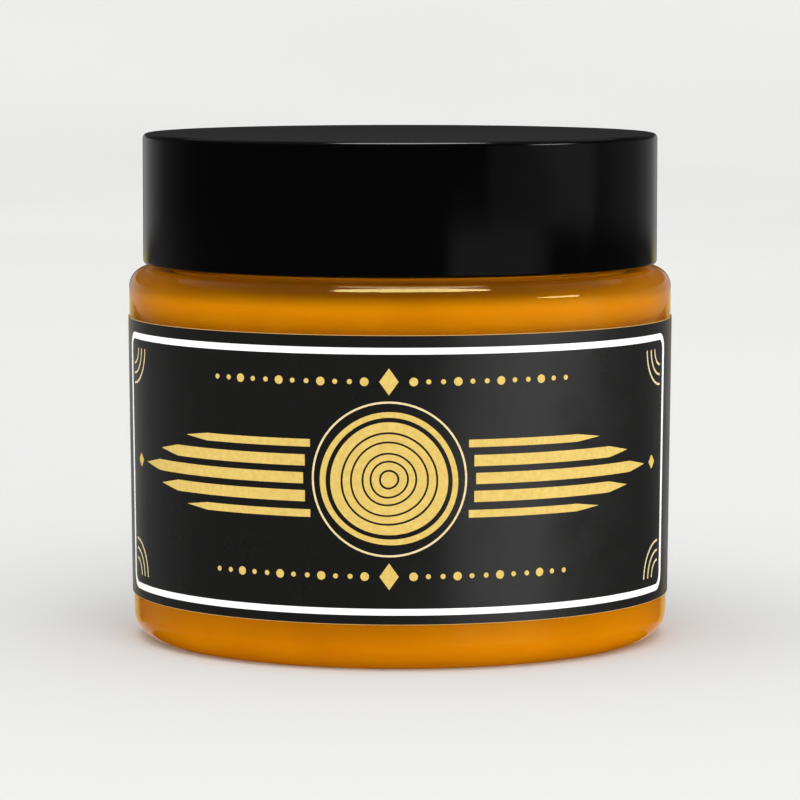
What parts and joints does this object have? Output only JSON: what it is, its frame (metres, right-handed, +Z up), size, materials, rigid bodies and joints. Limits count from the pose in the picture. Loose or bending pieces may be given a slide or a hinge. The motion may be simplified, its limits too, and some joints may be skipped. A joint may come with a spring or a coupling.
{
  "type": "wood wax jar",
  "caption": "Squat round clear-walled jar of amber wood wax with a wrap-round black label, a coarse-threaded neck, a lift-out sealing disc and a black lined screw cap.",
  "frame": {"origin": "centre of the foot that the jar stands on, at table height", "axes": "+Z up along the jar's axis, -Y towards the front of the label, +X to the right of a reader of the label"},
  "size_m": [0.0448, 0.0447, 0.0413],
  "materials": {
    "clear_plastic": "clear moulded polyester, polished",
    "amber_wax": "translucent set wax, satin",
    "black_film": "satin printed film",
    "black_plastic": "smooth moulded, semi-gloss",
    "white_foam": "fine-celled foam sheet, matte",
    "milky_plastic": "natural moulded, waxy"
  },
  "bodies": {
    "jar": {"jar_body": "clear_plastic", "wax_fill": "amber_wax", "wrap_label": "black_film"},
    "seal": {"sealing_disc": "milky_plastic", "cap_liner": "white_foam"},
    "cap": {"screw_cap": "black_plastic"}
  },
  "joints": [
    {"name": "cap_rise", "type": "slide", "parent": "jar", "child": "seal", "axis": [0, 0, 1], "range_m": [0, 0.0127]},
    {"name": "cap_turn", "type": "hinge", "parent": "seal", "child": "cap", "pos_m": [0, 0, 0], "axis": [0, 0, 1], "range_deg": [0, 1080]}
  ],
  "couplings": [
    {"joint": "cap_rise", "follows": "cap_turn", "m_per_rad": 0.00067322}
  ]
}
